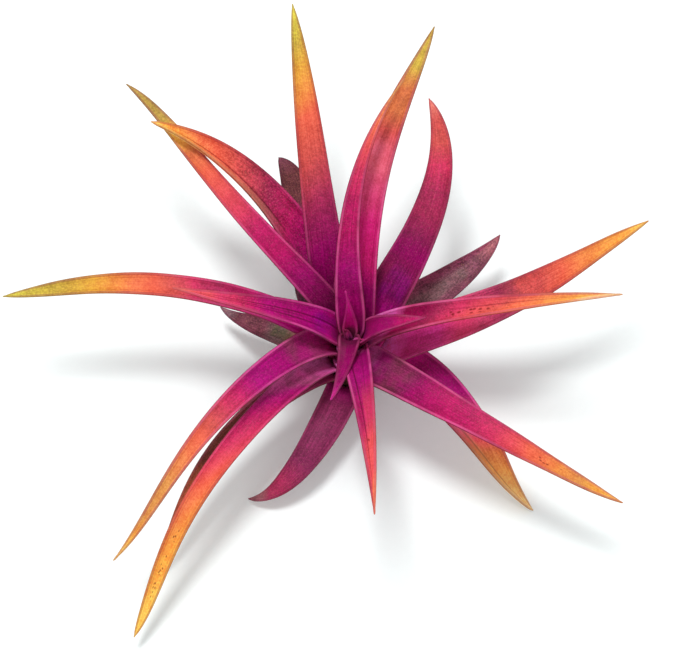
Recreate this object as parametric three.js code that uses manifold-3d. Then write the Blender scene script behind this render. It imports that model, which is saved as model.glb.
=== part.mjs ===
// A capitata air plant: a short stem in the middle of a rosette of channelled, arching leaves.
// Millimetres, +Z up. The origin is the middle of the flat foot that the plant stands on.
// Seen from the front (-Y), leaves named right point to +X and leaves named back to +Y.
import * as THREE from "three";
import { mergeVertices } from "three/addons/utils/BufferGeometryUtils.js";
import Module from "manifold-3d";

const wasm = await Module();
wasm.setup();

// Driving dimensions of the stem: a flat foot, a short barrel and a dome that the leaves grow from
const footRadius = 7;
const footRise = 1; // height at which the foot has widened to the barrel
const barrelRadius = 8;
const barrelTop = 5;
const domeRise = 19;
const stemSides = 24;
const domeSteps = 7;
const stemColour = 0x6a4a38;
const stemRoughness = 0.9;

// The bundle of leaf bases: where the oldest and the youngest leaf turn away from it
const oldestShoulder = { out: 14, up: 13 };
const youngestShoulder = { out: 3.2, up: 47 };
const lastRootAngle = 87; // degrees up the dome, from its rim to just beside its top
const claspShare = 1.25; // half a base's width, as a share of its distance from the axis
const claspSpare = 1;
const steepestFold = 140;
const tightestArc = 0.75; // radius of a blade's section, as a share of the thickness
const inwardLean = 0.3; // how far the face of an upright blade turns to the axis

// Leaf blades
const stations = 15; // steps from root to tip
const columns = 4; // steps from margin to margin
const rootThickness = 1.5;
const tipThickness = 1.0;
const marginShare = 0.65; // thickness at a margin, as a share of that at the midrib
const tipHalfWidth = 0.35;
const shapePower = 0.8;
const foldStart = 0.35; // share of the length where a blade starts to close towards its tip
const foldPower = 1.5;
const blendPower = 4; // how sharply the arc of the bundle gives way to the channel of the blade
const nearestAxis = 0.5;
const rollStart = 0.15; // share of the length where a rolled blade starts to turn
const rollRun = 0.3;
const leafRoughness = 0.6;
const clearance = 0.3; // between a leaf and the younger leaves and the stem that it lies against

// The leaves, oldest first, in the order that they follow each other up the stem.
// turn: where the leaf stands round the axis, in degrees from +X.
// guides: points of the midrib past the shoulder, each [out from the axis, turn about it, up from the foot].
// width, slim, taper: the blade loses the share slim of its width on the way, and closes later for a higher taper.
// fold: slope of the margins in degrees, mid-blade and at the tip. roll: turn about the midrib, the same way.
// inner: the leaf has no shoulder, because it stands in the middle of the bundle.
const leafTable = [
  { name: "shaded_back", turn: 130, guides: [[27, 120, 11], [41, 114, 1]],
    width: 11, slim: 0, taper: 3, fold: [45, 50], colour: 0x4a2c34 },
  { name: "plum_front", turn: -102, guides: [[38.7, -113.5, 14], [54, -126.8, 2]],
    width: 12.1, slim: 0, taper: 2.5, fold: [30, 35], colour: 0x8e2a55 },
  { name: "dusky_right", turn: 40, guides: [[42, 35, 24], [61, 38, 26]],
    width: 14.5, slim: 0, taper: 2.6, fold: [36, 45], colour: 0x6e3a4c },
  { name: "olive_left", turn: 166, guides: [[29, 162.6, 18], [45, 157.4, 14]],
    width: 11, slim: 0, taper: 2, fold: [38, 40], colour: 0x5f4a34 },
  { name: "rust_front", turn: -12, guides: [[44, -33.5, 21], [60, -38.2, 12], [75, -38.7, 1]],
    width: 19.2, slim: 0, taper: 2, fold: [66, 92], roll: [-20, -32], colour: 0xa04a2c },
  { name: "dusky_back", turn: 112, guides: [[48, 108.5, 24], [63, 107.6, 20.3], [71.2, 109, 18]],
    width: 12.5, slim: 0, taper: 6, fold: [30, 40], colour: 0x64404a },
  { name: "brown_front", turn: -140, guides: [[52, -139.3, 30], [74, -134.8, 22], [89.6, -132.2, 12]],
    width: 10, slim: 0.2, taper: 3.5, fold: [45, 50], colour: 0x6a3424 },
  { name: "coral_right", turn: 0, guides: [[56, 7.8, 60], [80, 13, 71], [93, 15.3, 74]],
    width: 16.8, slim: 0.14, taper: 2.3, fold: [40, 50], colour: 0xe0563c },
  { name: "amber_back", turn: 112, guides: [[57, 128.4, 65], [73, 133.9, 72.4], [82.4, 137.3, 76]],
    width: 15.8, slim: 0.12, taper: 3.8, fold: [60, 92], roll: [16, 28], colour: 0xe07a48 },
  { name: "plum_back", turn: 48, guides: [[50, 57.3, 60], [72, 70.3, 66]],
    width: 18.2, slim: 0.66, taper: 9, fold: [34, 40], colour: 0xa02a5c },
  { name: "amber_front", turn: -141, guides: [[68, -132.2, 40], [93, -129.1, 24], [112, -126.8, 10]],
    width: 10.9, slim: 0.6, taper: 16, fold: [55, 60], colour: 0xee8a3c },
  { name: "yellow_back", turn: 118, guides: [[64, 102.4, 76], [93, 100.9, 84]],
    width: 15.3, slim: 0.6, taper: 7.1, fold: [36, 45], colour: 0xe88a48 },
  { name: "yellow_left", turn: 170, guides: [[65, 172, 60], [88, 174.5, 58], [106.4, 176.3, 55]],
    width: 9.9, slim: 0.26, taper: 5.8, fold: [50, 50], colour: 0xe8963c },
  { name: "rose_right", turn: -66, guides: [[64, -37.6, 48], [99, -33.2, 40]],
    width: 17.6, slim: 0.84, taper: 15, fold: [40, 50], colour: 0xd8405c },
  { name: "gold_back", turn: 80, guides: [[54, 77.7, 76], [72, 74.5, 81.8], [87.6, 73, 84]],
    width: 15.9, slim: 0.3, taper: 3, fold: [45, 60], colour: 0xe08a48 },
  { name: "orange_front", turn: -170, guides: [[57, -141.3, 52], [82.4, -136.7, 44], [101, -135.5, 34]],
    width: 13.5, slim: 0.9, taper: 22, fold: [45, 60], colour: 0xee7a3c },
  { name: "flame_right", turn: 6, guides: [[34, -2.4, 67], [54, -2.3, 77.3], [80, -1.6, 84]],
    width: 12, slim: 0.62, taper: 4.8, fold: [50, 60], colour: 0xee6048 },
  { name: "coral_back", turn: 124, guides: [[60, 135.4, 66], [86, 133.7, 68], [101, 133.4, 64]],
    width: 11.5, slim: 0.73, taper: 12.4, fold: [40, 50], colour: 0xe86050 },
  { name: "flame_front", turn: -81, guides: [[44, -83.4, 78], [70, -84.5, 88]],
    width: 12.9, slim: 0.69, taper: 4.8, fold: [50, 60], colour: 0xe84c58 },
  { name: "magenta_left", turn: 171, guides: [[33, 178.6, 68], [53, 177.2, 76]],
    width: 14, slim: 0.66, taper: 4, fold: [50, 60], colour: 0xb82468 },
  { name: "young_right", turn: -18, guides: [[13, -19, 61.5], [23, -12, 70]],
    width: 14.6, slim: 0, taper: 1.5, fold: [48, 58], colour: 0xb82060 },
  { name: "rose_back", turn: 87, guides: [[38, 85.8, 81], [51.5, 80.7, 88], [65.2, 75.6, 92]],
    width: 13.3, slim: 0.93, taper: 9.8, fold: [45, 60], colour: 0xc83868 },
  { name: "young_front", turn: -94, guides: [[21, -97.5, 62], [31, -101, 70]],
    width: 10.4, slim: 0, taper: 1.4, fold: [55, 60], colour: 0xb42468 },
  { name: "young_back", turn: 92, inner: true, guides: [[2.8, 91, 42], [4.9, 95, 50.5], [7.9, 101, 58]],
    width: 15, slim: 0.8, taper: 1.3, fold: [35, 40], colour: 0xa82468 },
  { name: "bud_right", turn: -30, inner: true, guides: [[1.6, -45, 33], [3.2, -55, 41], [6, -44, 46]],
    width: 3.6, slim: 0, taper: 2, fold: [60, 60], colour: 0xb83070 },
  { name: "bud_heart", turn: 140, inner: true, guides: [[1.6, 200, 45]],
    width: 4.6, slim: 0, taper: 4, fold: [90, 92], colour: 0x8a2860 },
];

const radians = THREE.MathUtils.degToRad;
const lerp = THREE.MathUtils.lerp;
const clamp = THREE.MathUtils.clamp;

// A point given as the guides are: out from the axis, turned about it, up from the foot.
function spot(out, turn, up) {
  return new THREE.Vector3(out * Math.cos(radians(turn)), out * Math.sin(radians(turn)), up);
}

// One smooth line through its points: the polynomial of lowest degree, with the points spaced by their chords.
class Midrib extends THREE.Curve {
  constructor(points) {
    super();
    this.points = points;
    const runs = [0];
    points.slice(1).forEach((point, i) => runs.push(runs[i] + point.distanceTo(points[i])));
    this.knots = runs.map((run) => run / runs[runs.length - 1]);
  }

  getPoint(t, target = new THREE.Vector3()) {
    target.set(0, 0, 0);
    this.points.forEach((point, i) => {
      let share = 1;
      this.knots.forEach((knot, j) => {
        if (j !== i) share *= (t - knot) / (this.knots[i] - knot);
      });
      target.addScaledVector(point, share);
    });
    return target;
  }
}

// The midrib of a leaf: its root on the dome, its shoulder where it leaves the bundle, then its own guides.
// An inner leaf stands in the very middle and follows its own guides from the root on.
function midribOf(leaf, age) {
  const around = radians(lastRootAngle * age);
  const root = spot(barrelRadius * Math.cos(around), leaf.turn, barrelTop + domeRise * Math.sin(around));
  const shoulder = spot(
    lerp(oldestShoulder.out, youngestShoulder.out, age),
    leaf.turn,
    lerp(oldestShoulder.up, youngestShoulder.up, age),
  );
  const guides = leaf.guides.map((guide) => spot(...guide));
  return new Midrib(leaf.inner ? [root, ...guides] : [root, shoulder, ...guides]);
}

// The leaf's own axes at a share s of its length: along it, across its face, and out of its face.
function axesAt(leaf, midrib, s) {
  const along = midrib.getTangentAt(s);
  const leant = spot(-inwardLean, leaf.turn, 1);
  const across = leant.cross(along).normalize();
  const face = along.clone().cross(across);
  const [middleRoll, tipRoll] = leaf.roll ?? [0, 0];
  const roll = middleRoll * THREE.MathUtils.smoothstep(s, rollStart, rollStart + rollRun)
    + (tipRoll - middleRoll) * clamp(2 * s - 1, 0, 1);
  across.applyAxisAngle(along, radians(roll));
  face.applyAxisAngle(along, radians(roll));
  return { across, face };
}

// Half the width and the slope of the margins at a share s of the length, with the midrib apart from the axis.
// In the bundle the section is an arc about the axis, further out it is the blade's own channel.
// Where the blade is narrow it opens, so that its inner face stays clear of itself.
function sectionAt(leaf, s, apart) {
  const blade = leaf.width / 2 * (1 - leaf.slim * s) * (1 - s ** leaf.taper) ** shapePower;
  const half = Math.max(Math.min(blade, claspShare * apart + claspSpare), tipHalfWidth);
  const [middleFold, tipFold] = leaf.fold.map(radians);
  const closing = clamp((s - foldStart) / (1 - foldStart), 0, 1) ** foldPower;
  const channel = lerp(middleFold, tipFold, closing);
  const clasp = half / Math.max(apart, nearestAxis);
  const thickness = lerp(rootThickness, tipThickness, s);
  const steepest = Math.min(radians(steepestFold), half / (tightestArc * thickness));
  const fold = Math.min((clasp ** blendPower + channel ** blendPower) ** (1 / blendPower), steepest);
  return { half, fold, thickness };
}

// A closed blade: rows of points on its upper and lower face, split into triangles alike, and its rim.
// With a margin round it, it is the space that an older leaf keeps clear of.
function bladeGeometry(leaf, age, around) {
  const midrib = midribOf(leaf, age);
  const length = midrib.getLength();
  const upper = [];
  const lower = [];
  for (let k = 0; k <= stations; k++) {
    const s = k / stations;
    const centre = midrib.getPointAt(s);
    const { half, fold, thickness } = sectionAt(leaf, s, Math.hypot(centre.x, centre.y));
    const { across, face } = axesAt(leaf, midrib, s);
    if (k === stations) centre.addScaledVector(midrib.getTangentAt(1), around);
    const reach = 1 + around / half;
    for (let c = 0; c <= columns; c++) {
      const v = 2 * c / columns - 1;
      const slope = fold * v * reach;
      const point = centre.clone()
        .addScaledVector(across, half * Math.sin(slope) / fold)
        .addScaledVector(face, half * (1 - Math.cos(slope)) / fold);
      const out = across.clone().multiplyScalar(-Math.sin(slope)).addScaledVector(face, Math.cos(slope));
      const depth = thickness * lerp(1, marginShare, v * v) / 2 + around;
      upper.push(point.clone().addScaledVector(out, depth));
      lower.push(point.clone().addScaledVector(out, -depth));
    }
  }
  return closedShell(upper, lower, stations, columns);
}

// Joins two grids of points, one over the other, into one closed shell.
function closedShell(upper, lower, rows, cols) {
  const points = [...upper, ...lower];
  const top = (k, c) => k * (cols + 1) + c;
  const under = (k, c) => upper.length + top(k, c);
  const index = [];
  const quad = (a, b, c, d) => index.push(a, c, b, a, d, c);
  for (let k = 0; k < rows; k++) {
    for (let c = 0; c < cols; c++) {
      quad(top(k, c), top(k, c + 1), top(k + 1, c + 1), top(k + 1, c));
      index.push(under(k, c), under(k, c + 1), under(k + 1, c + 1));
      index.push(under(k, c), under(k + 1, c + 1), under(k + 1, c));
    }
    quad(top(k, 0), top(k + 1, 0), under(k + 1, 0), under(k, 0));
    quad(top(k + 1, cols), top(k, cols), under(k, cols), under(k + 1, cols));
  }
  for (let c = 0; c < cols; c++) {
    quad(top(0, c + 1), top(0, c), under(0, c), under(0, c + 1));
    quad(top(rows, c), top(rows, c + 1), under(rows, c + 1), under(rows, c));
  }
  const geometry = new THREE.BufferGeometry().setFromPoints(points);
  geometry.setIndex(index);
  return geometry;
}

// The stem, turned from its foot to the top of its dome, larger all round by the margin.
function stemGeometry(around) {
  const profile = [
    new THREE.Vector2(0, -around),
    new THREE.Vector2(footRadius + around, -around),
    new THREE.Vector2(barrelRadius + around, footRise),
  ];
  for (let k = 0; k <= domeSteps; k++) {
    const angle = Math.PI / 2 * k / domeSteps;
    const out = k === domeSteps ? 0 : (barrelRadius + around) * Math.cos(angle);
    profile.push(new THREE.Vector2(out, barrelTop + (domeRise + around) * Math.sin(angle)));
  }
  return new THREE.LatheGeometry(profile, stemSides).rotateX(Math.PI / 2);
}

function solidOf(geometry) {
  geometry.deleteAttribute("normal");
  geometry.deleteAttribute("uv");
  const merged = mergeVertices(geometry);
  return new wasm.Manifold(
    new wasm.Mesh({
      numProp: 3,
      vertProperties: merged.attributes.position.array,
      triVerts: new Uint32Array(merged.index.array),
    }),
  );
}

function geometryOf(solid) {
  const mesh = solid.getMesh();
  return new THREE.BufferGeometry()
    .setAttribute("position", new THREE.BufferAttribute(mesh.vertProperties, 3))
    .setIndex(new THREE.BufferAttribute(mesh.triVerts, 1));
}

function largestBody(solid) {
  return solid.decompose().reduce((best, body) => (body.volume() > best.volume() ? body : best));
}

const plant = new THREE.Group();

function addPiece(name, solid, colour, roughness) {
  const material = new THREE.MeshStandardMaterial({ color: colour, roughness, metalness: 0 });
  const mesh = new THREE.Mesh(geometryOf(solid), material);
  mesh.name = name;
  plant.add(mesh);
}

addPiece("stem", solidOf(stemGeometry(0)), stemColour, stemRoughness);

// Each leaf is cut back, by the clearance, from the stem and from every younger leaf, which it lies outside of.
const lastLeaf = leafTable.length - 1;
const stemSpace = solidOf(stemGeometry(clearance));
const leafSpaces = leafTable.map((leaf, i) => solidOf(bladeGeometry(leaf, i / lastLeaf, clearance)));
leafTable.forEach((leaf, i) => {
  let solid = solidOf(bladeGeometry(leaf, i / lastLeaf, 0)).subtract(stemSpace);
  for (const space of leafSpaces.slice(i + 1)) solid = solid.subtract(space);
  addPiece("leaf_" + leaf.name, largestBody(solid), leaf.colour, leafRoughness);
});

export default plant;
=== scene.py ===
import math

import bpy
import numpy as np
from mathutils import Matrix, Vector


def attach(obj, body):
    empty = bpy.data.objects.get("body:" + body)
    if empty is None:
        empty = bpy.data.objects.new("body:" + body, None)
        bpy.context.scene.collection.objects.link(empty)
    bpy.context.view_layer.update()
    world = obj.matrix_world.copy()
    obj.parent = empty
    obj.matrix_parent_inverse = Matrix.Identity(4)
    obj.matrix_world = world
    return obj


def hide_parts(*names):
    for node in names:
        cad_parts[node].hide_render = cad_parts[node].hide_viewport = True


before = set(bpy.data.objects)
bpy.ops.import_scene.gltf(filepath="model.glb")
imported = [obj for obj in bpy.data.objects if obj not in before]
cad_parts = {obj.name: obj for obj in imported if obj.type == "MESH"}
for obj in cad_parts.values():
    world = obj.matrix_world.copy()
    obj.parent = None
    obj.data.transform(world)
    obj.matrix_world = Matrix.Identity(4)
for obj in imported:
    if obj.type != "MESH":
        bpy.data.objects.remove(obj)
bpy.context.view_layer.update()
print("frame loaded:", len(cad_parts), "nodes")

mm = 0.001

# The plant's colours before lighting, and a few colours of painted light: red, green and blue, 0 to
# 255. Most were matched to averages along each leaf in the photograph.
palette = {
    "maroon": (104, 5, 64),
    "grape": (116, 16, 74),
    "garnet": (152, 6, 76),
    "magenta": (148, 2, 95),
    "fuchsia": (164, 4, 110),
    "orchid": (170, 2, 124),
    # cerise is a magenta lighter than the plant's own: painted fill light for leaf roots in the shade of the
    # heart
    "cerise": (218, 14, 148),
    "ruby": (174, 14, 90),
    "cherry": (212, 28, 118),
    "crimson": (180, 24, 92),
    "pink": (214, 74, 116),
    "rose": (200, 48, 90),
    "coral": (218, 72, 84),
    "flame": (228, 98, 72),
    "salmon": (231, 118, 74),
    "apricot": (236, 158, 82),
    "orange": (230, 136, 66),
    "amber": (240, 166, 68),
    "sun": (250, 196, 86),
    "honey": (222, 150, 78),
    "wheat": (236, 178, 104),
    "yellow": (222, 162, 58),
    "lime": (208, 192, 68),
    "olive": (198, 166, 62),
    "khaki": (176, 146, 68),
    "plum": (134, 26, 80),
    "wine": (164, 40, 84),
    "brick": (200, 76, 74),
    "mauve": (124, 70, 88),
    "heather": (112, 57, 72),
    "russet": (94, 45, 51),
    "moss": (78, 68, 44),
    "rust": (208, 112, 66),
    "umber": (100, 50, 40),
    "blush": (236, 136, 160),
    "peach": (252, 178, 132),
    "ember": (120, 20, 22),
    "bark": (92, 66, 46),
    "straw": (168, 138, 96),
    # petal and lilac are lighter still: painted fill light for the roots and buds deepest in the heart
    "petal": (253, 120, 214),
    "lilac": (240, 92, 180),
    "mallow": (208, 50, 134),
    "raspberry": (217, 58, 108),
    "mulberry": (130, 40, 84),
    "dusty": (160, 94, 104),
    "ash": (130, 100, 108),
    "shell": (232, 126, 112),
    "pewter": (118, 94, 94),
    "fern": (70, 78, 30),
    "violet": (150, 10, 138),
    "cream": (254, 210, 138),
    "carnation": (224, 96, 120),
    "lemon": (226, 212, 70),
    "berry": (168, 3, 108),
    # the three glows are painted light, laid on the walls of folded leaves that catch the light
    "warmGlow": (149, 124, 79),
    "redGlow": (176, 58, 34),
    "pinkGlow": (150, 52, 70),
}


def tone(name, brightness=1.0):
    # the display's curve undone, channel by channel, which is what a shader socket wants
    c = np.array(palette[name]) / 255
    linear = np.where(c <= 0.04045, c / 12.92, ((c + 0.055) / 1.055) ** 2.4)
    return tuple(float(x) for x in np.minimum(linear * brightness, 1.0)) + (1.0,)


# The plant's own sizes in millimetres and degrees, the same as its solids have
plant = {
    "footRadius": 7, "barrelRadius": 8, "barrelTop": 5, "domeRise": 19,
    "oldestShoulder": (14, 13), "youngestShoulder": (3.2, 47), "lastRootAngle": 87,
    "claspShare": 1.25, "claspSpare": 1, "leastApart": 0.5, "claspPower": 4,
    "steepestFold": 140, "tightestArc": 0.75, "inwardLean": 0.3,
    "rootThickness": 1.5, "tipThickness": 1.0, "marginShare": 0.65, "tipHalfWidth": 0.35,
    "shapePower": 0.8, "foldStart": 0.35, "foldPower": 1.5, "rollStart": 0.15, "rollRun": 0.3,
}

# How finely a leaf is drawn, the raised lip along its margins with the groove inside it, both placed
# by their distance from the margin in millimetres, the waves of the margins and the rounded tip
blade = {
    "rows": 150, "upperColumns": 35, "lowerColumns": 17, "rimSteps": 4, "midribSteps": 1201,
    "lastRow": 0.998, "rowCrowding": 1.25, "rootCap": 0.2, "tipCap": 0.002, "firstSeed": 40,
    "lipHeight": 0.12, "lipPlace": 0.1, "lipWidth": 0.2,
    "grooveDepth": 0.08, "groovePlace": 0.55, "grooveWidth": 0.28,
    "reliefStart": (0.12, 0.3), "reliefEnd": (0.88, 0.99), "reliefHalf": 3, "upperFace": 0.99,
    "waveHeight": 0.22, "quickWave": 2.3, "quickShare": 0.6,
    "tipRound": 0.02, "tipWidthLeft": 0.15, "tipThicknessLeft": 0.1,
}

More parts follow.
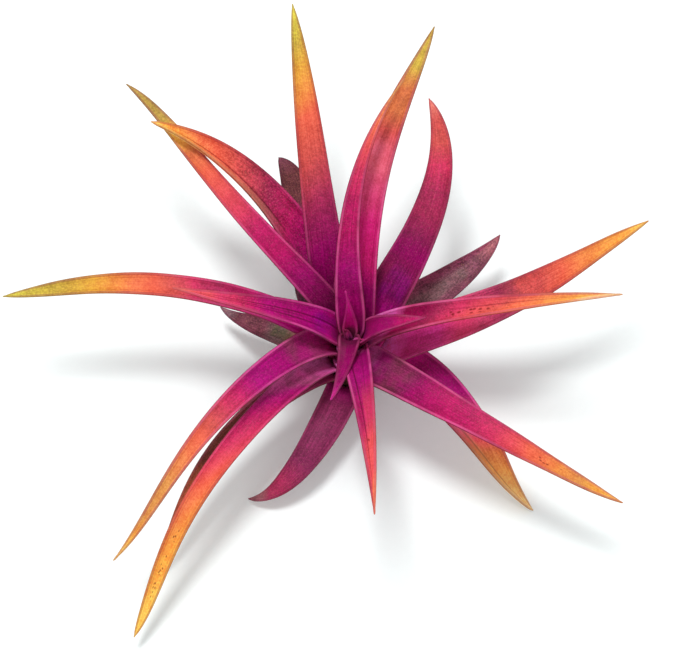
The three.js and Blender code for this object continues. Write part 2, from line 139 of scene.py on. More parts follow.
# Every leaf, oldest first. turn: its place round the stem. guides: points of its midrib past the
# shoulder, each (out from the axis, turn about it, up). inner: no shoulder. width: across the blade
# before slim, the share lost evenly towards the tip, and taper, how late the rest narrows. fold: slope
# of the margins, in the lower blade and at the tip. roll: turn about the midrib, mid-blade and at the
# tip. waves: gentle bends of the margins. slot: the finish it stands for.
# hues: colours from root to tip. shift: how far the colours run ahead on the margin to the left of
# someone who looks from root to tip. light, edge, lip, grain: more or less than the usual of each.
# tinges: (from, to, colour, strength), and across from and to where one is only a band.
# creases: painted shade along folds, (from, across, to, across, strength). specks: (from, to, across, size).
# near: the side that catches the light, where it starts, how much and which glow. across runs from -1 to 1.
# The sizes of sixteen leaves were refined by fitting their outlines to the photograph. None of the
# sizes was measured on a plant.
leaves = [
    {"name": "shaded_back", "turn": 130, "guides": [(27, 120, 11), (41, 114, 1)],
     "width": 11, "slim": 0, "taper": 3, "fold": (45, 50), "slot": "old_leaf", "waves": 1.5,
     "hues": [(0.1, "umber"), (0.4, "maroon"), (0.8, "maroon"), (0.95, "umber")],
     "light": 0.5, "lip": 0.2, "grain": 1.5},
    {"name": "plum_front", "turn": -102, "guides": [(38.7, -113.5, 14), (54, -126.8, 2)],
     "width": 12.1, "slim": 0, "taper": 2.5, "fold": (30, 35), "slot": "plum_leaf", "waves": 1.2,
     "hues": [(0.1, "fuchsia"), (0.24, "mulberry"), (0.6, "mulberry"), (0.76, "wine"), (0.84, "wine"),
              (0.9, "dusty")],
     "lip": 0.35},
    {"name": "dusky_right", "turn": 40, "guides": [(42, 35, 24), (61, 38, 26)],
     "width": 14.5, "slim": 0, "taper": 2.6, "fold": (36, 45), "slot": "old_leaf", "waves": 1.7,
     "hues": [(0.2, "plum"), (0.4, "mauve"), (0.8, "mauve"), (0.9, "dusty"), (0.97, "dusty")],
     "lip": 0.3, "grain": 1.7,
     "tinges": [(0.3, 0.7, "pewter", 0.7, -0.5, 0.35), (0.25, 0.9, "plum", 0.45, 0.6, 1.2)]},
    {"name": "olive_left", "turn": 166, "guides": [(29, 162.6, 18), (45, 157.4, 14)],
     "width": 11, "slim": 0, "taper": 2, "fold": (38, 40), "slot": "old_leaf", "waves": 1.1,
     "hues": [(0.32, "plum"), (0.4, "dusty"), (0.46, "pewter"), (0.53, "pewter"), (0.61, "heather"),
              (0.82, "heather"), (0.9, "ash"), (0.96, "ash")],
     "lip": 0.3, "grain": 1.5, "tinges": [(0.38, 0.52, "fern", 0.75, -1.2, 0.5)]},
    {"name": "rust_front", "turn": -12, "guides": [(44, -33.5, 21), (60, -38.2, 12), (75, -38.7, 1)],
     "width": 19.2, "slim": 0, "taper": 2, "fold": (66, 92), "roll": (-20, -32), "slot": "rust_leaf",
     "waves": 1.3,
     "hues": [(0.16, "cerise"), (0.24, "magenta"), (0.4, "fuchsia"), (0.5, "pink"), (0.56, "pink"),
              (0.61, "coral"), (0.66, "rust"), (0.75, "apricot"), (0.84, "wheat"), (0.92, "cream")],
     "light": 1.04, "lip": 0.6, "shift": -0.05, "near": (-1, 0.15, 0.5, "warmGlow"),
     "creaseShadows": [(0.52, -0.5, 0.97, -0.15, 0.85)]},
    {"name": "dusky_back", "turn": 112, "guides": [(48, 108.5, 24), (63, 107.6, 20.3), (71.2, 109, 18)],
     "width": 12.5, "slim": 0, "taper": 6, "fold": (30, 40), "slot": "old_leaf", "waves": 1.4,
     "hues": [(0.3, "magenta"), (0.66, "plum"), (0.74, "russet"), (0.88, "russet"), (0.97, "heather")],
     "lip": 0.15, "grain": 1.2},
    {"name": "brown_front", "turn": -140,
     "guides": [(52, -139.3, 30), (74, -134.8, 22), (89.6, -132.2, 12)],
     "width": 10, "slim": 0.2, "taper": 3.5, "fold": (45, 50), "slot": "rust_leaf", "waves": 1.2,
     "hues": [(0.2, "plum"), (0.46, "umber"), (0.62, "umber"), (0.82, "rust"), (0.95, "rust")],
     "lip": 0.3},
    {"name": "coral_right", "turn": 0, "guides": [(56, 7.8, 60), (80, 13, 71), (93, 15.3, 74)],
     "width": 16.8, "slim": 0.14, "taper": 2.3, "fold": (40, 50), "slot": "orange_leaf", "waves": 1.6,
     "hues": [(0.09, "petal"), (0.15, "lilac"), (0.22, "mallow"), (0.32, "mallow"), (0.39, "raspberry"),
              (0.48, "raspberry"), (0.54, "wine"), (0.6, "brick"), (0.66, "brick"), (0.72, "flame"),
              (0.82, "orange"), (0.91, "amber"), (0.97, "sun")],
     "lip": 0.4, "grain": 1.1, "edge": 1.3, "tinges": [(0.47, 0.56, "mauve", 0.25)]},
    {"name": "amber_back", "turn": 112, "guides": [(57, 128.4, 65), (73, 133.9, 72.4), (82.4, 137.3, 76)],
     "width": 15.8, "slim": 0.12, "taper": 3.8, "fold": (60, 92), "roll": (16, 28), "slot": "orange_leaf",
     "waves": 1.2,
     "hues": [(0.34, "fuchsia"), (0.5, "crimson"), (0.58, "wine"), (0.7, "brick"), (0.78, "flame"),
              (0.83, "salmon"), (0.88, "orange"), (0.92, "amber"), (0.97, "sun")],
     "light": 1.04, "lip": 0.4, "grain": 1.5, "shift": 0.04, "near": (1, 0.3, 0.45, "warmGlow"),
     "creaseShadows": [(0.46, 0.4, 0.97, 0.12, 0.8)]},
    {"name": "plum_back", "turn": 48, "guides": [(50, 57.3, 60), (72, 70.3, 66)],
     "width": 18.2, "slim": 0.66, "taper": 9, "fold": (34, 40), "slot": "plum_leaf", "waves": 1.8,
     "hues": [(0.18, "cerise"), (0.29, "grape"), (0.38, "plum"), (0.46, "magenta"), (0.51, "plum"),
              (0.6, "wine"), (0.68, "wine"), (0.76, "rose"), (0.84, "brick"), (0.91, "brick"),
              (0.97, "shell")],
     "lip": 0.4, "tinges": [(0.24, 0.36, "violet", 0.4, -0.8, 0.5)]},
    {"name": "amber_front", "turn": -141, "guides": [(68, -132.2, 40), (93, -129.1, 24), (112, -126.8, 10)],
     "width": 10.9, "slim": 0.6, "taper": 16, "fold": (55, 60), "slot": "orange_leaf", "waves": 1.9,
     "hues": [(0.12, "petal"), (0.19, "lilac"), (0.27, "fuchsia"), (0.36, "crimson"), (0.44, "rose"),
              (0.5, "coral"), (0.56, "flame"), (0.61, "salmon"), (0.67, "orange"), (0.77, "amber"),
              (0.9, "sun")],
     "light": 1.08, "lip": 0.3, "shift": 0.05, "specks": (0.66, 0.92, 0.1, 1),
     "tinges": [(0.08, 0.24, "moss", 0.5)]},
    {"name": "yellow_back", "turn": 118, "guides": [(64, 102.4, 76), (93, 100.9, 84)],
     "width": 15.3, "slim": 0.6, "taper": 7.1, "fold": (36, 45), "slot": "yellow_leaf", "waves": 1.5,
     "hues": [(0.36, "magenta"), (0.48, "wine"), (0.59, "brick"), (0.71, "flame"), (0.76, "orange"),
              (0.83, "yellow"), (0.9, "olive"), (0.94, "lime"), (0.98, "lemon")],
     "lip": 0.3, "edge": 1.5, "shift": 0.02},
    {"name": "yellow_left", "turn": 170, "guides": [(65, 172, 60), (88, 174.5, 58), (106.4, 176.3, 55)],
     "width": 9.9, "slim": 0.26, "taper": 5.8, "fold": (50, 50), "slot": "yellow_leaf", "waves": 2.1,
     "hues": [(0.28, "cerise"), (0.38, "crimson"), (0.46, "wine"), (0.52, "rose"), (0.56, "brick"),
              (0.61, "flame"), (0.66, "salmon"), (0.7, "orange"), (0.76, "yellow"), (0.85, "olive"),
              (0.96, "lime")],
     "lip": 0.5, "edge": 1.3},
    {"name": "rose_right", "turn": -66, "guides": [(64, -37.6, 48), (99, -33.2, 40)],
     "width": 17.6, "slim": 0.84, "taper": 15, "fold": (40, 50), "slot": "orange_leaf", "waves": 1.7,
     "hues": [(0.15, "petal"), (0.19, "orchid"), (0.26, "magenta"), (0.33, "magenta"), (0.44, "ruby"),
              (0.52, "crimson"), (0.6, "rose"), (0.66, "coral"), (0.7, "flame"), (0.75, "salmon"),
              (0.8, "orange"), (0.86, "honey"), (0.9, "amber"), (0.97, "amber")],
     "lip": 1, "specks": (0.7, 0.84, 0, 1), "tinges": [(0.17, 0.3, "moss", 0.45)]},
    {"name": "gold_back", "turn": 80, "guides": [(54, 77.7, 76), (72, 74.5, 81.8), (87.6, 73, 84)],
     "width": 15.9, "slim": 0.3, "taper": 3, "fold": (45, 60), "slot": "yellow_leaf", "waves": 1.6,
     "hues": [(0.24, "fuchsia"), (0.31, "cherry"), (0.44, "cherry"), (0.54, "pink"), (0.59, "carnation"),
              (0.64, "carnation"), (0.69, "brick"), (0.75, "rust"), (0.81, "rust"), (0.88, "olive"),
              (0.97, "olive")],
     "lip": 0.8, "edge": 1.3},
    {"name": "orange_front", "turn": -170,
     "guides": [(57, -141.3, 52), (82.4, -136.7, 44), (101, -135.5, 34)],
     "width": 13.5, "slim": 0.9, "taper": 22, "fold": (45, 60), "slot": "orange_leaf", "waves": 1.8,
     "hues": [(0.16, "cerise"), (0.26, "fuchsia"), (0.4, "fuchsia"), (0.45, "crimson"), (0.5, "rose"),
              (0.55, "brick"), (0.6, "flame"), (0.66, "salmon"), (0.75, "honey"), (0.85, "honey"),
              (0.91, "amber"), (0.96, "sun")],
     "lip": 0.9, "tinges": [(0.12, 0.25, "moss", 0.45)]},
    {"name": "flame_right", "turn": 6, "guides": [(34, -2.4, 67), (54, -2.3, 77.3), (80, -1.6, 84)],
     "width": 12, "slim": 0.62, "taper": 4.8, "fold": (50, 60), "slot": "coral_leaf", "waves": 1.5,
     "hues": [(0.18, "petal"), (0.25, "lilac"), (0.3, "garnet"), (0.38, "garnet"), (0.44, "wine"),
              (0.51, "rose"), (0.6, "coral"), (0.66, "brick"), (0.7, "flame"), (0.75, "salmon"),
              (0.81, "orange"), (0.89, "amber"), (0.95, "cream")],
     "shift": -0.05, "specks": (0.45, 0.7, -0.3, 1.35), "near": (-1, -0.05, 0.5, "redGlow"),
     "creaseShadows": [(0.5, 0.15, 0.98, 0, 0.6)]},
    {"name": "coral_back", "turn": 124, "guides": [(60, 135.4, 66), (86, 133.7, 68), (101, 133.4, 64)],
     "width": 11.5, "slim": 0.73, "taper": 12.4, "fold": (40, 50), "slot": "yellow_leaf", "waves": 1.9,
     "hues": [(0.2, "maroon"), (0.3, "magenta"), (0.4, "ruby"), (0.46, "crimson"), (0.51, "rose"),
              (0.58, "coral"), (0.67, "flame"), (0.73, "rust"), (0.77, "sun"), (0.8, "sun"),
              (0.85, "khaki"), (0.97, "khaki")],
     "lip": 0.6},
    {"name": "flame_front", "turn": -81, "guides": [(44, -83.4, 78), (70, -84.5, 88)],
     "width": 12.9, "slim": 0.69, "taper": 4.8, "fold": (50, 60), "slot": "coral_leaf", "waves": 1.3,
     "hues": [(0.17, "petal"), (0.22, "lilac"), (0.28, "fuchsia"), (0.46, "fuchsia"), (0.6, "ruby"),
              (0.66, "crimson"), (0.71, "rose"), (0.77, "coral"), (0.88, "coral"), (0.91, "flame"),
              (0.96, "salmon")],
     "shift": 0.04, "specks": (0.66, 0.8, 0, 1), "near": (1, -0.2, 0.5, "redGlow"),
     "creaseShadows": [(0.32, -0.5, 0.95, -0.12, 0.95), (0.25, 0.5, 0.76, 0.1, 0.3)]},
    {"name": "magenta_left", "turn": 171, "guides": [(33, 178.6, 68), (53, 177.2, 76)],
     "width": 14, "slim": 0.66, "taper": 4, "fold": (50, 60), "slot": "magenta_leaf", "waves": 1.4,
     "hues": [(0.13, "cherry"), (0.22, "cerise"), (0.27, "cerise"), (0.33, "orchid"), (0.5, "berry"),
              (0.62, "berry"), (0.69, "crimson"), (0.76, "rose"), (0.81, "raspberry"), (0.86, "coral"),
              (0.91, "coral"), (0.96, "flame")],
     "light": 1.06, "lip": 0.9, "near": (1, 0.5, 0.35, "pinkGlow"),
     "tinges": [(0.2, 0.34, "violet", 0.6, -0.7, 0.6)],
     "creaseShadows": [(0.18, -0.3, 0.9, -0.15, 0.9), (0.3, 0.2, 0.95, 0.3, 0.85), (0.4, -0.05, 0.8, 0.08, 0.6)]},
    {"name": "young_right", "turn": -18, "guides": [(13, -19, 61.5), (23, -12, 70)],
     "width": 14.6, "slim": 0, "taper": 1.5, "fold": (48, 58), "slot": "magenta_leaf", "waves": 1.1,
     "hues": [(0.17, "petal"), (0.24, "cerise"), (0.31, "orchid"), (0.4, "berry"), (0.55, "berry"),
              (0.74, "berry"), (0.87, "ruby"), (0.96, "ruby")]},
    {"name": "rose_back", "turn": 87, "guides": [(38, 85.8, 81), (51.5, 80.7, 88), (65.2, 75.6, 92)],
     "width": 13.3, "slim": 0.93, "taper": 9.8, "fold": (45, 60), "slot": "coral_leaf", "waves": 1.7,
     "hues": [(0.26, "fuchsia"), (0.31, "magenta"), (0.38, "fuchsia"), (0.5, "ruby"), (0.6, "crimson"),
              (0.7, "rose"), (0.76, "coral"), (0.83, "flame"), (0.87, "salmon"), (0.91, "orange"),
              (0.95, "amber")],
     "creaseShadows": [(0.45, -0.3, 0.95, 0, 0.5)]},
    {"name": "young_front", "turn": -94, "guides": [(21, -97.5, 62), (31, -101, 70)],
     "width": 10.4, "slim": 0, "taper": 1.4, "fold": (55, 60), "slot": "magenta_leaf", "waves": 1.2,
     "hues": [(0.15, "maroon"), (0.3, "grape"), (0.4, "grape"), (0.5, "magenta"), (0.85, "magenta"),
              (0.9, "fuchsia"), (0.96, "cerise")],
     "lip": 0.6, "tinges": [(0.42, 0.62, "mauve", 0.35, -1.2, -0.2)]},
    {"name": "young_back", "turn": 92, "inner": True,
     "guides": [(2.8, 91, 42), (4.9, 95, 50.5), (7.9, 101, 58)],
     "width": 15, "slim": 0.8, "taper": 1.3, "fold": (35, 40), "slot": "magenta_leaf", "waves": 1,
     "hues": [(0.3, "mulberry"), (0.44, "mulberry"), (0.52, "cerise"), (0.95, "cerise")],
     "lip": 0.7},
    {"name": "bud_right", "turn": -30, "inner": True,
     "guides": [(1.6, -45, 33), (3.2, -55, 41), (6, -44, 46)],
     "width": 3.6, "slim": 0, "taper": 2, "fold": (60, 60), "slot": "magenta_leaf", "waves": 1,
     "hues": [(0.3, "lilac"), (0.75, "lilac"), (0.9, "mallow")],
     "light": 1.2, "lip": 0.6},
    {"name": "bud_heart", "turn": 140, "inner": True, "guides": [(1.6, 200, 45)],
     "width": 4.6, "slim": 0, "taper": 4, "fold": (90, 92), "slot": "magenta_leaf", "waves": 1,
     "hues": [(0.3, "mulberry"), (0.38, "petal"), (0.7, "petal"), (0.9, "lilac"), (0.97, "plum")],
     "light": 1.25, "lip": 0.5},
]


def spot(out, turn, up):
    # out from the axis, turned about it, up from the foot
    a = math.radians(turn)
    return np.array([out * math.cos(a), out * math.sin(a), up])


def unit(vectors):
    return vectors / np.linalg.norm(vectors, axis=-1, keepdims=True)


def smooth(x, start, end):
    # 0 before start, 1 after end, and three squares less two cubes between them
    t = np.clip((x - start) / (end - start), 0, 1)
    return t * t * (3 - 2 * t)


def midrib(leaf, age, s):
    # The polynomial through root, shoulder and guides, their knots spaced by the chords,
    # read at even shares s of its length. Gives the points and the directions along it.
    around = math.radians(plant["lastRootAngle"] * age)
    root = spot(plant["barrelRadius"] * math.cos(around), leaf["turn"],
                plant["barrelTop"] + plant["domeRise"] * math.sin(around))
    (oldOut, oldUp), (youngOut, youngUp) = plant["oldestShoulder"], plant["youngestShoulder"]
    shoulder = spot(oldOut + (youngOut - oldOut) * age, leaf["turn"], oldUp + (youngUp - oldUp) * age)
    guides = [spot(*g) for g in leaf["guides"]]
    points = np.array([root] + guides if leaf.get("inner") else [root, shoulder] + guides)
    chords = np.linalg.norm(np.diff(points, axis=0), axis=1)
    knots = np.concatenate([[0], np.cumsum(chords)]) / chords.sum()
    t = np.linspace(0, 1, blade["midribSteps"])
    gaps = t[None, None] - knots[None, :, None]
    spans = knots[:, None] - knots[None]
    np.fill_diagonal(spans, 1)
    shares = gaps / spans[..., None]
    shares[np.arange(len(points)), np.arange(len(points))] = 1
    line = shares.prod(axis=1).T @ points
    run = np.concatenate([[0], np.cumsum(np.linalg.norm(np.diff(line, axis=0), axis=1))])
    heading = unit(np.gradient(line, axis=0))
    at = s * run[-1]
    centre = np.stack([np.interp(at, run, line[:, k]) for k in range(3)], -1)
    along = unit(np.stack([np.interp(at, run, heading[:, k]) for k in range(3)], -1))
    return centre, along, run[-1]


def leafAxes(leaf, along, s):
    # across lies level with the leaf's own place on the stem, face points out of the upper side,
    # and both turn about the midrib by the leaf's roll
    lean = -plant["inwardLean"]
    heading = math.radians(leaf["turn"])
    upward = np.array([lean * math.cos(heading), lean * math.sin(heading), 1.0])
    across = unit(np.cross(upward, along))
    face = np.cross(along, across)
    middle, tip = leaf.get("roll", (0, 0))
    start = plant["rollStart"]
    outerHalf = np.clip(2 * s - 1, 0, 1)
    roll = middle * smooth(s, start, start + plant["rollRun"]) + (tip - middle) * outerHalf
    turn = np.radians(roll)[:, None]
    return across * np.cos(turn) + face * np.sin(turn), face * np.cos(turn) - across * np.sin(turn)


def leafSection(leaf, centre, s):
    # Half the width, the slope of the margins and the thickness. In the bundle the section is an arc
    # about the axis, further out the blade's own channel, and where the blade is narrow it opens.
    apart = np.hypot(centre[:, 0], centre[:, 1])
    narrowing = np.clip(1 - s ** leaf["taper"], 0, 1) ** plant["shapePower"]
    own = leaf["width"] / 2 * (1 - leaf["slim"] * s) * narrowing
    room = plant["claspShare"] * apart + plant["claspSpare"]
    half = np.maximum(np.minimum(own, room), plant["tipHalfWidth"])
    middle, tip = np.radians(leaf["fold"])
    closing = np.clip((s - plant["foldStart"]) / (1 - plant["foldStart"]), 0, 1) ** plant["foldPower"]
    channel = middle + (tip - middle) * closing
    clasp = half / np.maximum(apart, plant["leastApart"])
    thickness = plant["rootThickness"] + (plant["tipThickness"] - plant["rootThickness"]) * s
    steepest = np.minimum(math.radians(plant["steepestFold"]), half / (plant["tightestArc"] * thickness))
    power = plant["claspPower"]
    return half, np.minimum((clasp ** power + channel ** power) ** (1 / power), steepest), thickness


def sectionLoop():
    # Once round the section: v runs across from margin to margin, w is 1 on the upper face and -1 on
    # the lower, rim points outward on the rounded margins
    upper = np.sin(np.linspace(-math.pi / 2, math.pi / 2, blade["upperColumns"]))
    lower = np.sin(np.linspace(math.pi / 2, -math.pi / 2, blade["lowerColumns"]))
    bend = np.linspace(math.pi / 2, -math.pi / 2, blade["rimSteps"] + 2)[1:-1]
    one = np.ones_like(bend)
    v = np.concatenate([upper, one, lower, -one])
    w = np.concatenate([np.ones_like(upper), np.sin(bend), -np.ones_like(lower), -np.sin(bend)])
    rim = np.concatenate([0 * upper, np.cos(bend), 0 * lower, -np.cos(bend)])
    return v, w, rim


def leafPoints(leaf, age, seed):
    # Rows of points along the leaf, each row once round its section:
    # centre + arc of the section at v + half the thickness out of the arc + lip, groove and waves
    t = np.linspace(0, 1, blade["rows"])
    s = blade["lastRow"] * (1 - (1 - t) ** blade["rowCrowding"])
    centre, along, length = midrib(leaf, age, s)
    across, face = leafAxes(leaf, along, s)
    half, fold, thickness = leafSection(leaf, centre, s)
    v, w, rim = sectionLoop()
    close = np.clip((1 - s) / blade["tipRound"], 0, 1)
    closing = np.sqrt(1 - (1 - close) ** 2)
    widthLeft, thicknessLeft = blade["tipWidthLeft"], blade["tipThicknessLeft"]
    half = half * (widthLeft + (1 - widthLeft) * closing)
    thinning = 1 - (1 - plant["marginShare"]) * v[None] ** 2
    depth = 0.5 * thickness[:, None] * thinning * (thicknessLeft + (1 - thicknessLeft) * closing[:, None])
    edge = np.minimum(0.5 * thickness * plant["marginShare"], 0.5 * half)
    inner = v[None] * (1 - edge / half)[:, None]
    slope = fold[:, None] * inner
    x = half[:, None] * np.sin(slope) / fold[:, None]
    z = half[:, None] * (1 - np.cos(slope)) / fold[:, None]
    ends = smooth(s, *blade["reliefStart"]) * (1 - smooth(s, *blade["reliefEnd"]))
    mid = ends * np.clip(half / blade["reliefHalf"], 0, 1)
    inset = half[:, None] * (1 - np.abs(v))
    lip = blade["lipHeight"] * np.exp(-((inset - blade["lipPlace"]) / blade["lipWidth"]) ** 2)
    groove = blade["grooveDepth"] * np.exp(-((inset - blade["groovePlace"]) / blade["grooveWidth"]) ** 2)
    relief = mid[:, None] * np.where(w > blade["upperFace"], lip - groove, 0)
    push = w[None] * depth + relief
    slowPhase, quickPhase = np.random.default_rng(seed).uniform(0, 2 * math.pi, 2)
    swing = 2 * math.pi * leaf["waves"]
    slow = np.sin(swing * s + slowPhase)[:, None] * v[None] ** 2
    quick = blade["quickShare"] * np.sin(blade["quickWave"] * swing * s + quickPhase)[:, None] * v[None] ** 3
    wave = blade["waveHeight"] * mid[:, None] * (slow + quick)
    x = x - np.sin(slope) * push + np.cos(slope) * rim[None] * edge[:, None]
    z = z + np.cos(slope) * push + np.sin(slope) * rim[None] * edge[:, None] + wave
    points = centre[:, None] + across[:, None] * x[..., None] + face[:, None] * z[..., None]
    return points, inset, s, v, w, centre, along, length


def closedTube(points):
    # Faces between the rows, joined round the loop, with one point closing each end
    rows, cols = points.shape[:2]
    r, c = np.meshgrid(np.arange(rows - 1), np.arange(cols), indexing="ij")
    n = (c + 1) % cols
    quads = np.stack([r * cols + c, (r + 1) * cols + c, (r + 1) * cols + n, r * cols + n], -1).reshape(-1, 4)
    ring = np.arange(cols)
    rootPoint, tipPoint = rows * cols, rows * cols + 1
    last = (rows - 1) * cols
    rootCap = np.stack([ring, np.roll(ring, -1), np.full(cols, rootPoint)], -1)
    tipCap = np.stack([last + np.roll(ring, -1), last + ring, np.full(cols, tipPoint)], -1)
    return quads.tolist() + rootCap.tolist() + tipCap.tolist()


def meshOf(name, points, faces, attributes):
    mesh = bpy.data.meshes.new(name)
    mesh.from_pydata((points * mm).tolist(), [], faces)
    for label, values in attributes.items():
        mesh.attributes.new(label, "FLOAT", "POINT").data.foreach_set("value", values.astype(np.float32))
    mesh.polygons.foreach_set("use_smooth", np.ones(len(faces), bool))
    mesh.update()
    piece = bpy.data.objects.new(name, mesh)
    bpy.context.scene.collection.objects.link(piece)
    return piece


sheenRoughness = 0.45


class Wires:
    # A hand for wiring one material: each method adds a node and gives back its output
    def __init__(self, name):
        self.material = bpy.data.materials.new(name)
        self.material.use_nodes = True
        self.tree = self.material.node_tree
        self.tree.nodes.clear()

    def node(self, kind, **settings):
        node = self.tree.nodes.new(kind)
        for key, value in settings.items():
            setattr(node, key, value)
        return node

    def plug(self, value, socket):
        if isinstance(value, bpy.types.NodeSocket):
            self.tree.links.new(value, socket)
        else:
            socket.default_value = value

    def attribute(self, name):
        return self.node("ShaderNodeAttribute", attribute_type="GEOMETRY", attribute_name=name).outputs["Fac"]

    def place(self, shift):
        mapping = self.node("ShaderNodeMapping")
        mapping.inputs["Location"].default_value = shift
        self.plug(self.node("ShaderNodeTexCoord").outputs["Object"], mapping.inputs["Vector"])
        return mapping.outputs["Vector"]

    def calc(self, operation, a, b=0.0, c=0.0):
        node = self.node("ShaderNodeMath", operation=operation)
        for value, socket in zip((a, b, c), node.inputs):
            self.plug(value, socket)
        return node.outputs[0]

    def times(self, product, *factors):
        for factor in factors:
            product = self.calc("MULTIPLY", product, factor)
        return product

    def step(self, value, start, end, low=0.0, high=1.0, ease="SMOOTHSTEP"):
        # low at start, high at end and past it, and eased between them; end may be the smaller one
        node = self.node("ShaderNodeMapRange", interpolation_type=ease)
        sockets = ("Value", "From Min", "From Max", "To Min", "To Max")
        for socket, number in zip(sockets, (value, start, end, low, high)):
            self.plug(number, node.inputs[socket])
        return node.outputs["Result"]

    def noise(self, vector, scale, detail=2.0, rough=0.5):
        node = self.node("ShaderNodeTexNoise")
        self.plug(vector, node.inputs["Vector"])
        for key, number in (("Scale", scale), ("Detail", detail), ("Roughness", rough)):
            self.plug(number, node.inputs[key])
        return node.outputs["Fac"]

    def combine(self, x, y, z):
        node = self.node("ShaderNodeCombineXYZ")
        for value, socket in zip((x, y, z), node.inputs):
            self.plug(value, socket)
        return node.outputs[0]

    def ramp(self, factor, stops):
        node = self.node("ShaderNodeValToRGB")
        node.color_ramp.interpolation = "LINEAR"
        band = node.color_ramp.elements
        for i, (position, colour) in enumerate(stops):
            element = band[i] if i < 2 else band.new(position)
            element.position = position
            element.color = colour
        self.plug(factor, node.inputs["Fac"])
        return node.outputs["Color"]

    def contrast(self, factor, start, end):
        return self.ramp(factor, [(start, (0, 0, 0, 1)), (end, (1, 1, 1, 1))])

    def mix(self, factor, a, b, blend="MIX"):
        node = self.node("ShaderNodeMix", data_type="RGBA", blend_type=blend)
        self.plug(factor, node.inputs["Factor"])
        self.plug(a, node.inputs[6])
        self.plug(b, node.inputs[7])
        return node.outputs[2]

    def finish(self, colour, roughness, height, bump, sheen, specular):
        shader = self.node("ShaderNodeBsdfPrincipled")
        relief = self.node("ShaderNodeBump")
        relief.inputs["Strength"].default_value = 1.0
        relief.inputs["Distance"].default_value = bump
        self.plug(height, relief.inputs["Height"])
        self.plug(colour, shader.inputs["Base Color"])
        self.plug(roughness, shader.inputs["Roughness"])
        self.plug(relief.outputs["Normal"], shader.inputs["Normal"])
        shader.inputs["Sheen Weight"].default_value = sheen
        shader.inputs["Sheen Roughness"].default_value = sheenRoughness
        shader.inputs["Sheen Tint"].default_value = tone("blush")
        shader.inputs["Specular IOR Level"].default_value = specular
        output = self.node("ShaderNodeOutputMaterial")
        self.plug(shader.outputs["BSDF"], output.inputs["Surface"])
        return self.material


# The leaf's skin, layer by layer. Bands along the margin are in millimetres from it. Other bands are
# shares of the leaf's length, or of its half-width across it. A scale is how fine a layer's noise is.
skin = {
    "brightness": 0.95, "drift": 0.05, "driftScale": 90,
    "edge": 0.12, "edgeBand": (0.45, 0.95), "edgeShade": (0.62, 0.4, 0.5, 1),
    "rootEnd": 0.08, "rootStrength": 0.85,
    "tingeFade": 0.06, "tingeSoft": 0.15, "tingeScale": 150, "tingeLeast": 0.4, "unevenBand": (0.35, 0.6),
    "streak": 0.28, "streaksAcross": 14.0, "streaksAlong": 5.0, "streakBand": (0.32, 0.68),
    "grain": 0.28, "grainScale": 1500, "grainShare": 0.65, "grainBand": (0.4, 0.6), "patchScale": 260,
    "sparkle": 0.1, "sparkleScale": 2300, "sparkleBand": (0.55, 0.68), "scurfRun": (0.45, 0.75),
    # The first tint below darkens the colour into painted shade: in the groove, along the outer margins, in
    # the folds and just under the rim.
    "shadeTint": (0.42, 0.24, 0.34, 1), "lipLight": (0.42, 0.075, 0.17, 1),
    "groove": 0.22, "grooveWidth": 1.6, "grooveSoft": 0.3,
    "lip": 0.9, "lipBand": (0.18, 0.04), "fadeWidth": 0.85, "fadeShare": 0.45,
    "lipSide": (0.5, 0.3), "lipScale": 120, "lipLeast": 0.5,
    "shadeLine": 0.55, "shadeLineBand": (0.22, 0.04), "shadeLineRun": (0.45, 0.65),
    "creaseBand": (0.1, 0.02), "creaseBefore": 0.03, "creaseAfter": 0.05,
    "litSoft": 0.2, "litRun": (0.45, 0.6),
    # rim: painted shade just under the margin
    "rim": 0.6, "underShadeBand": (0.2, 0.05), "underShadeSide": (0.4, 0.6),
    "lowerSide": (0.15, 0.6), "lowerRun": (0.3, 0.75), "lowerBrown": (0.45, 0.08),
    "streakHeight": 0.6, "glossGrain": (0.3, 0.7), "glossRange": (0.42, 0.62),
    "sheen": 0.02, "specular": 0.12, "bump": 0.0001,
}

# The dark dots on four leaves: cells across, millimetres from one to the next along, how far a dot
# strays in its cell, its size in the cell, and how many cells stay empty
specks = {
    "cellsAcross": 2.6, "apart": 1.9, "stray": 0.85, "outside": 0.32, "core": 0.14, "endFade": 0.05,
    "rowBand": (0.45, 0.2), "someScale": 330, "someBand": (0.44, 0.52), "strength": 0.8,
}


def leafMaps(w, leaf, seed):
    # What the layers read: the leaf's own attributes, its place in the noise, and run, which is its
    # length with a slow drift and a shift from margin to margin
    maps = {name: w.attribute(name) for name in ("along", "across", "under", "inset")}
    maps["place"] = w.place(tuple(np.random.default_rng(seed).uniform(-1, 1, 3)))
    drift = w.calc("SUBTRACT", w.noise(maps["place"], skin["driftScale"]), 0.5)
    run = w.calc("MULTIPLY_ADD", drift, skin["drift"], maps["along"])
    maps["run"] = w.calc("MULTIPLY_ADD", maps["across"], leaf.get("shift", 0.0), run)
    return maps


def uneven(w, maps, scale, least):
    return w.step(w.noise(maps["place"], scale), *skin["unevenBand"], least, 1.0)


def baseColour(w, leaf, maps):
    # Hues from root to tip, a little darker towards the margins, and bark at the root
    bright = skin["brightness"] * leaf.get("light", 1.0)
    colour = w.ramp(maps["run"], [(place, tone(name, bright)) for place, name in leaf["hues"]])
    sides = w.step(w.calc("ABSOLUTE", maps["across"]), *skin["edgeBand"])
    shade = w.mix(1.0, colour, skin["edgeShade"], "MULTIPLY")
    colour = w.mix(w.times(sides, skin["edge"] * leaf.get("edge", 1)), colour, shade)
    rootMask = w.step(maps["along"], skin["rootEnd"], 0.0, 0.0, skin["rootStrength"])
    return w.mix(rootMask, colour, tone("bark"))


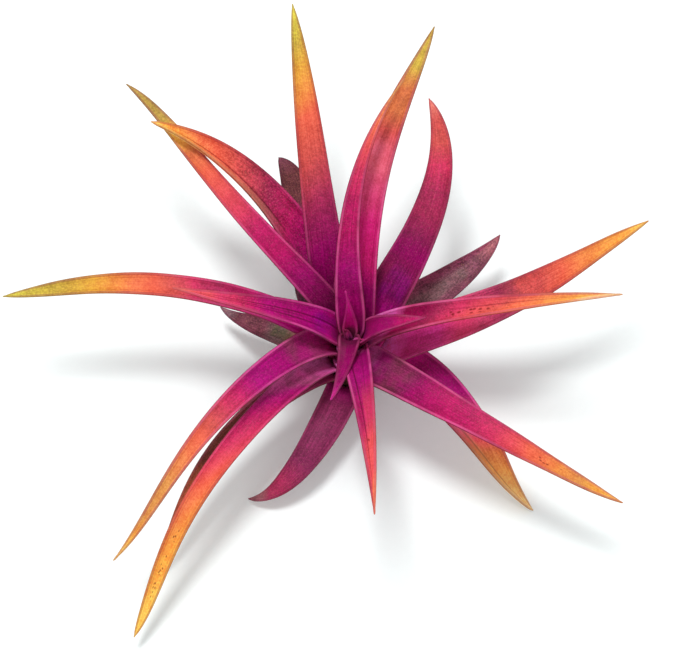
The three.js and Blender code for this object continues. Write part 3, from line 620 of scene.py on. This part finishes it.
def addTinges(w, leaf, maps, colour):
    # Another colour over a stretch of the leaf, or over a band of that stretch
    run, across = maps["run"], maps["across"]
    fade, soft = skin["tingeFade"], skin["tingeSoft"]
    for start, end, name, strength, *sideways in leaf.get("tinges", []):
        patch = w.times(w.step(run, start - fade, start), w.step(run, end + fade, end))
        if sideways:
            inner, outer = sideways
            fromInner = w.step(across, inner - soft, inner + soft)
            patch = w.times(patch, w.times(fromInner, w.step(across, outer + soft, outer - soft)))
        patch = w.times(patch, uneven(w, maps, skin["tingeScale"], skin["tingeLeast"]), strength)
        colour = w.mix(patch, colour, tone(name))
    return colour


def addGrain(w, leaf, maps, colour, streaks, grain):
    # Lengthwise streaks, fine grain over broader patches, and pale scurf
    amount = leaf.get("grain", 1)
    colour = w.mix(skin["streak"], colour, w.contrast(streaks, *skin["streakBand"]), "SOFT_LIGHT")
    patches = w.noise(maps["place"], skin["patchScale"], detail=3, rough=0.6)
    rough = w.calc("MULTIPLY_ADD", grain, skin["grainShare"], w.times(patches, 1 - skin["grainShare"]))
    colour = w.mix(skin["grain"] * amount, colour, w.contrast(rough, *skin["grainBand"]), "OVERLAY")
    sparkle = w.step(w.noise(maps["place"], skin["sparkleScale"], rough=0.6), *skin["sparkleBand"])
    pink, pale = skin["scurfRun"]
    scurf = w.ramp(maps["run"], [(pink, tone("blush")), (pale, tone("peach"))])
    return w.mix(w.times(sparkle, skin["sparkle"] * amount), colour, scurf)


def addMargins(w, leaf, maps, colour, shadedColour):
    # The groove inside the margin with painted shade in it, the pale lip on the upper side, and a dark
    # outline of painted shade along the margins of the outer half
    inset, fade, share = maps["inset"], skin["fadeWidth"], skin["fadeShare"]
    bottom = fade + skin["grooveSoft"]
    # painted shade in the groove
    groove = w.times(w.step(inset, fade, bottom), w.step(inset, skin["grooveWidth"], bottom))
    colour = w.mix(w.times(groove, skin["groove"]), colour, shadedColour)
    core = w.step(inset, *skin["lipBand"], 0.0, 1.0 - share)
    lip = w.calc("ADD", core, w.step(inset, fade, 0.0, 0.0, share))
    lip = w.times(lip, w.step(maps["under"], *skin["lipSide"]))
    lip = w.times(lip, uneven(w, maps, skin["lipScale"], skin["lipLeast"]))
    lipTint = w.mix(1.0, colour, skin["lipLight"], "SCREEN")
    colour = w.mix(w.times(lip, skin["lip"] * leaf.get("lip", 1)), colour, lipTint)
    # painted shade along the margins, on the outer half of the leaf
    shadeLine = w.times(w.step(inset, *skin["shadeLineBand"]), w.step(maps["run"], *skin["shadeLineRun"]))
    return w.mix(w.times(shadeLine, skin["shadeLine"]), colour, shadedColour)


def addCreaseShadows(w, leaf, maps, colour, shadedColour):
    # Lines of painted shade along the folds, each straight from one place across the leaf to another further
    # along it
    along, before, after = maps["along"], skin["creaseBefore"], skin["creaseAfter"]
    for first, firstAcross, last, lastAcross, strength in leaf.get("creaseShadows", []):
        middle = w.step(along, first, last, firstAcross, lastAcross, "LINEAR")
        gap = w.calc("ABSOLUTE", w.calc("SUBTRACT", maps["across"], middle))
        line = w.times(w.step(gap, *skin["creaseBand"]), w.step(along, first - before, first + after))
        line = w.times(line, w.step(along, last + before, last - after))
        colour = w.mix(w.times(line, strength), colour, shadedColour)
    return colour


def addLitWall(w, leaf, maps, colour):
    # The wall of a folded leaf that catches the light
    if "near" not in leaf:
        return colour
    way, first, strength, glow = leaf["near"]
    side = w.step(w.times(maps["across"], way), first, first + skin["litSoft"])
    lit = w.times(side, w.step(maps["along"], *skin["litRun"]), strength)
    return w.mix(lit, colour, w.mix(1.0, colour, tone(glow), "SCREEN"))


def addSpecks(w, leaf, maps, colour, length):
    # Small dark dots, sown one to a cell, in a few rows on both sides of one line
    if "specks" not in leaf:
        return colour
    first, last, middle, size = leaf["specks"]
    along, across, fade = maps["along"], maps["across"], specks["endFade"]
    cells = w.node("ShaderNodeTexVoronoi", voronoi_dimensions="2D")
    grid = w.combine(w.times(across, specks["cellsAcross"]), w.times(along, length / specks["apart"]), 0.0)
    w.plug(grid, cells.inputs["Vector"])
    cells.inputs["Scale"].default_value = 1.0
    cells.inputs["Randomness"].default_value = specks["stray"]
    dots = w.step(cells.outputs["Distance"], specks["outside"] * size, specks["core"] * size)
    band = w.times(w.step(along, first, first + fade), w.step(along, last, last - fade))
    row = w.step(w.calc("ABSOLUTE", w.calc("SUBTRACT", across, middle)), *specks["rowBand"])
    some = w.step(w.noise(maps["place"], specks["someScale"], detail=1), *specks["someBand"])
    mask = w.times(dots, band, w.times(row, some), specks["strength"])
    return w.mix(mask, colour, tone("ember"))


def addLowerSide(w, maps, colour, shadedColour):
    # Painted shade on the rim just under the margin, and a browner lower side that is partly its own colour
    # and partly painted shade
    rim = w.times(w.step(maps["inset"], *skin["underShadeBand"]), w.step(maps["under"], *skin["underShadeSide"]))
    colour = w.mix(w.times(rim, skin["rim"]), colour, shadedColour)
    brown = w.mix(w.step(maps["run"], *skin["lowerRun"], *skin["lowerBrown"]), colour, tone("umber"))
    return w.mix(w.step(maps["under"], *skin["lowerSide"]), colour, brown)


def leafSkin(leaf, seed, length):
    # The layers, each laid over the ones before it
    w = Wires("skin_" + leaf["name"])
    maps = leafMaps(w, leaf, seed)
    sideways = w.times(maps["across"], skin["streaksAcross"])
    lines = w.combine(sideways, w.times(maps["along"], skin["streaksAlong"]), float(seed))
    streaks = w.noise(lines, 1.0, detail=3)
    grain = w.noise(maps["place"], skin["grainScale"], detail=3, rough=0.7)
    colour = baseColour(w, leaf, maps)
    colour = addTinges(w, leaf, maps, colour)
    colour = addGrain(w, leaf, maps, colour, streaks, grain)
    # the colour darkened into painted shade, for the groove, the margins, the folds and the rim
    shadedColour = w.mix(1.0, colour, skin["shadeTint"], "MULTIPLY")
    colour = addMargins(w, leaf, maps, colour, shadedColour)
    colour = addCreaseShadows(w, leaf, maps, colour, shadedColour)
    colour = addLitWall(w, leaf, maps, colour)
    colour = addSpecks(w, leaf, maps, colour, length)
    colour = addLowerSide(w, maps, colour, shadedColour)
    height = w.calc("MULTIPLY_ADD", streaks, skin["streakHeight"], grain)
    gloss = w.step(grain, *skin["glossGrain"], *skin["glossRange"])
    return w.finish(colour, gloss, height, skin["bump"], skin["sheen"], skin["specular"])


def makeLeaf(leaf, i):
    age = i / (len(leaves) - 1)
    seed = blade["firstSeed"] + i
    points, inset, s, v, w, centre, along, length = leafPoints(leaf, age, seed)
    rows, cols = points.shape[:2]
    rootEnd = centre[0] - blade["rootCap"] * along[0]
    tipEnd = centre[-1] + along[-1] * blade["tipCap"] * length
    everyPoint = np.concatenate([points.reshape(-1, 3), np.stack([rootEnd, tipEnd])])
    attributes = {
        "along": np.concatenate([np.repeat(s, cols), [0, 1]]),
        "across": np.concatenate([np.tile(v, rows), [0, 0]]),
        "under": np.concatenate([np.tile((1 - w) / 2, rows), [1, 1]]),
        "inset": np.concatenate([inset.reshape(-1), [0, 0]]),
    }
    piece = meshOf("blade_" + leaf["name"], everyPoint, closedTube(points), attributes)
    piece.data.materials.append(leafSkin(leaf, seed, length))
    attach(piece, "root")
    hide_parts("leaf_" + leaf["name"])


for i, leaf in enumerate(leaves):
    makeLeaf(leaf, i)
print("leaves made:", len(leaves))

# The short stem under the leaves: dry, fibrous, with rings where older leaves were shed. The bark lies
# inset millimetres inside the solid that it stands for.
stem = {
    "columns": 96, "rows": 60, "inset": 0.3, "footRings": [0.4, 3.5], "flareRows": 12, "flareHeight": 1.2,
    "rings": 5, "ringDepth": 0.25, "ribs": 31, "ribDepth": 0.12, "workHeight": 1.0,
}


def stemPoints():
    # A profile turned about the axis: foot, barrel and dome, with shallow rings and ribs worked into it
    p, inset = plant, stem["inset"]
    angle = np.radians(90) * np.linspace(0, 1, stem["rows"])
    flare = np.linspace(0, p["barrelTop"], stem["flareRows"])
    widening = (p["barrelRadius"] - p["footRadius"]) * smooth(flare, 0, stem["flareHeight"])
    dome = (p["barrelRadius"] - inset) * np.cos(angle[1:-1])
    out = np.concatenate([stem["footRings"], p["footRadius"] - inset + widening, dome])
    up = np.concatenate([[0, 0], flare, p["barrelTop"] + (p["domeRise"] - inset) * np.sin(angle[1:-1])])
    theta = np.linspace(0, 2 * math.pi, stem["columns"], endpoint=False)
    height = p["barrelTop"] + p["domeRise"]
    ring = stem["ringDepth"] * np.abs(np.sin(math.pi * stem["rings"] * up / height))[:, None]
    rib = stem["ribDepth"] * np.sin(stem["ribs"] * theta)[None] * np.ones_like(up)[:, None]
    work = np.clip(up / stem["workHeight"], 0, 1)[:, None]
    r = out[:, None] * (1 - (ring + rib) * work / p["barrelRadius"])
    return np.stack([r * np.cos(theta), r * np.sin(theta), np.repeat(up[:, None], len(theta), 1)], -1)


bark = {
    "place": (0.3, 0.1, 0.2), "fibreStretch": (1, 1, 0.18), "fibreScale": 1500, "patchScale": 180,
    "shadow": 0.55, "bands": (0.3, 0.55, 0.8), "patchBand": (0.45, 0.7), "patchStrength": 0.5,
    "glossFibre": (0.3, 0.7), "glossRange": (0.75, 0.95), "bump": 0.0004, "sheen": 0.1, "specular": 0.2,
}


def barkSkin():
    # Upright fibres from dark to straw, with umber patches
    w = Wires("skin_stem")
    place = w.place(bark["place"])
    fibre = w.node("ShaderNodeMapping")
    fibre.inputs["Scale"].default_value = bark["fibreStretch"]
    w.plug(place, fibre.inputs["Vector"])
    threads = w.noise(fibre.outputs["Vector"], bark["fibreScale"], detail=4, rough=0.65)
    patches = w.noise(place, bark["patchScale"], detail=3)
    tones = (tone("bark", bark["shadow"]), tone("bark"), tone("straw"))
    colour = w.ramp(threads, list(zip(bark["bands"], tones)))
    colour = w.mix(w.step(patches, *bark["patchBand"], 0, bark["patchStrength"]), colour, tone("umber"))
    gloss = w.step(threads, *bark["glossFibre"], *bark["glossRange"])
    return w.finish(colour, gloss, threads, bark["bump"], bark["sheen"], bark["specular"])


stemGrid = stemPoints()
stemTop = plant["barrelTop"] + plant["domeRise"] - stem["inset"]
stemEnds = np.array([[0, 0, 0], [0, 0, stemTop]])
stemFaces = [face[::-1] for face in closedTube(stemGrid)]
stemPiece = meshOf("stem_bark", np.concatenate([stemGrid.reshape(-1, 3), stemEnds]), stemFaces, {})
stemPiece.data.materials.append(barkSkin())
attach(stemPiece, "root")
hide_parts("stem")
print("stem made")

# Floor, light and camera, in metres and degrees
studio = {
    "floorSize": 4.0, "floorTint": (0.908, 0.965, 0.962), "paperScale": 400, "paperBand": (0.2, 0.8),
    "paperLift": 0.02, "paperRoughness": 0.9, "paperBump": 0.00002, "paperSpecular": 0.1, "skyStrength": 0.73,
    "lampPlace": (-0.13, 0.14, 1.3), "lampSize": 0.24, "lampPower": 9.2,
    "elevation": 72, "distance": 0.8, "lens": 136.8, "sensorWidth": 36, "clipStart": 0.01,
    "eye": (0, 0, 0.040), "eyePixel": (350, 333), "metresPerPixel": 0.00031, "frame": (679, 653),
}

floorMesh = bpy.data.meshes.new("floor")
reach = studio["floorSize"] / 2
corners = [(-reach, -reach, 0), (reach, -reach, 0), (reach, reach, 0), (-reach, reach, 0)]
floorMesh.from_pydata(corners, [], [(0, 1, 2, 3)])
floor = bpy.data.objects.new("floor", floorMesh)
bpy.context.scene.collection.objects.link(floor)
paper = Wires("paper")
paperGrain = paper.noise(paper.place((0, 0, 0)), studio["paperScale"], detail=3)
paperLow = np.array(studio["floorTint"])
paperHigh = paperLow + studio["paperLift"]
paperTones = ((*paperLow, 1), (*paperHigh, 1))
paperTint = paper.ramp(paperGrain, list(zip(studio["paperBand"], paperTones)))
floorMesh.materials.append(paper.finish(
    paperTint, studio["paperRoughness"], paperGrain, studio["paperBump"], 0.0, studio["paperSpecular"]))

world = bpy.data.worlds.new("sky")
world.use_nodes = True
world.node_tree.nodes["Background"].inputs["Color"].default_value = (1, 1, 1, 1)
world.node_tree.nodes["Background"].inputs["Strength"].default_value = studio["skyStrength"]
bpy.context.scene.world = world

lampData = bpy.data.lights.new("softbox", "AREA")
lampData.shape = "DISK"
lampData.size = studio["lampSize"]
lampData.energy = studio["lampPower"]
lamp = bpy.data.objects.new("softbox", lampData)
lamp.location = studio["lampPlace"]
lamp.rotation_euler = (-Vector(studio["lampPlace"])).to_track_quat("-Z", "Y").to_euler()
bpy.context.scene.collection.objects.link(lamp)

# The camera looks down at the rosette as the photograph does
tilt = math.radians(studio["elevation"])
right = Vector((1, 0, 0))
forward = Vector((0, math.cos(tilt), -math.sin(tilt)))
upward = Vector((0, math.sin(tilt), math.cos(tilt)))
width, height = studio["frame"]
aside = (studio["eyePixel"][0] - width / 2) * studio["metresPerPixel"]
below = (studio["eyePixel"][1] - height / 2) * studio["metresPerPixel"]
aim = Vector(studio["eye"]) - right * aside + upward * below
cameraData = bpy.data.cameras.new("camera")
cameraData.sensor_width = studio["sensorWidth"]
cameraData.lens = studio["lens"]
cameraData.clip_start = studio["clipStart"]
camera = bpy.data.objects.new("camera", cameraData)
camera.matrix_world = Matrix.Translation(aim - forward * studio["distance"]) @ Matrix(
    (right, upward, -forward)).transposed().to_4x4()
bpy.context.scene.collection.objects.link(camera)
bpy.context.scene.camera = camera
bpy.context.scene.view_settings.view_transform = "Standard"
print("floor, light and camera set")
